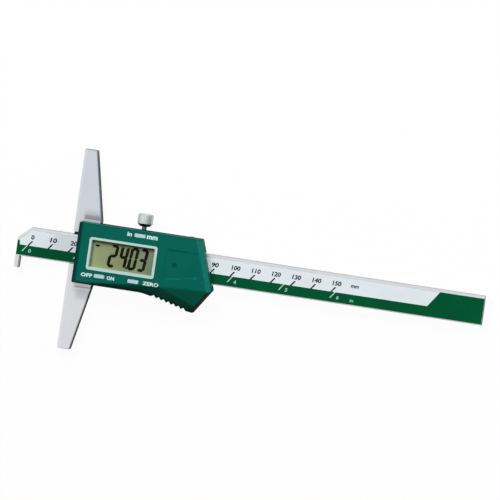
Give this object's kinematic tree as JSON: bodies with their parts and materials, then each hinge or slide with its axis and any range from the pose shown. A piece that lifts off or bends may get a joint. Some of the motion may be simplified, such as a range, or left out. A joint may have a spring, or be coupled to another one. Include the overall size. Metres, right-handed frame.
{
  "type": "depth gauge",
  "caption": "Digital depth gauge: slotted base bar and display unit sliding on a flat steel beam that ends in a small hook, with a lock screw on its upper edge.",
  "frame": {"origin": "centre of the base bar's measuring face, on the beam's centre line", "axes": "+X along the beam, from the measuring face towards the display; +Y across the beam towards the lock screw; +Z out of the display"},
  "size_m": [0.2305, 0.0974, 0.016],
  "materials": {
    "base_steel": "fine ground, satin",
    "beam_steel": "lengthwise brushed, satin",
    "screw_steel": "bright plated",
    "knurled_steel": "knurled, satin chrome",
    "spring_steel": "thin sheet, plain",
    "gib_brass": "machined",
    "nickel": "nickel plated",
    "green_plastic": "moulded, fine satin grain",
    "black_plastic": "moulded",
    "circuit_board": "solder mask",
    "chip_black": "potted",
    "scale_print": "printed film, white and green",
    "lcd": "reflective liquid crystal display",
    "window": "clear cover",
    "bezel_white": "moulded, glossy",
    "button_grey": "moulded, light grey",
    "rubber": "layered conductive rubber",
    "cell_steel": "pressed can",
    "plate_alloy": "satin, blank"
  },
  "bodies": {
    "slider": {"base_frame": "base_steel", "back_plate": "plate_alloy", "gib": "gib_brass", "gib_screws": "screw_steel", "front_keeper": "spring_steel", "rear_keeper": "spring_steel", "keeper_screws": "screw_steel", "main_board": "circuit_board", "board_screws": "screw_steel", "controller_chip": "chip_black", "key_contacts": "nickel", "zebra_strips": "rubber", "lcd_holder": "black_plastic", "lcd_panel": "lcd", "lcd_window": "window", "lcd_bezel": "bezel_white", "battery_tray": "black_plastic", "battery": "cell_steel", "battery_contact_negative": "nickel", "battery_contact_positive": "nickel", "housing_cover": "green_plastic", "housing_screws": "screw_steel"},
    "beam": {"beam": "beam_steel", "scale_board": "circuit_board", "scale_label": "scale_print"},
    "lock_screw": {"lock_screw": "knurled_steel"},
    "on_off_button": {"on_off_button": "button_grey"},
    "zero_button": {"zero_button": "button_grey"},
    "unit_button": {"unit_button": "button_grey"},
    "battery_lid": {"battery_lid": "green_plastic"}
  },
  "joints": [
    {"name": "beam_slide", "type": "slide", "parent": "slider", "child": "beam", "axis": [-1, 0, 0], "range_m": [-0.02403, 0.12597]},
    {"name": "lock_turn", "type": "hinge", "parent": "slider", "child": "lock_screw", "pos_m": [0.0338, 0.0187, 0.0009], "axis": [0, 1, 0], "range_deg": [0, 360]},
    {"name": "on_off_press", "type": "slide", "parent": "slider", "child": "on_off_button", "axis": [0, 0, -1], "range_m": [0, 0.0004], "stiffness_N_per_m": 400, "springref_m": -0.0005},
    {"name": "zero_press", "type": "slide", "parent": "slider", "child": "zero_button", "axis": [0, 0, -1], "range_m": [0, 0.0004], "stiffness_N_per_m": 400, "springref_m": -0.0005},
    {"name": "unit_press", "type": "slide", "parent": "slider", "child": "unit_button", "axis": [0, 0, -1], "range_m": [0, 0.0004], "stiffness_N_per_m": 400, "springref_m": -0.0005},
    {"name": "lid_slide", "type": "slide", "parent": "slider", "child": "battery_lid", "axis": [1, 0, 0], "range_m": [0, 0.026]}
  ]
}
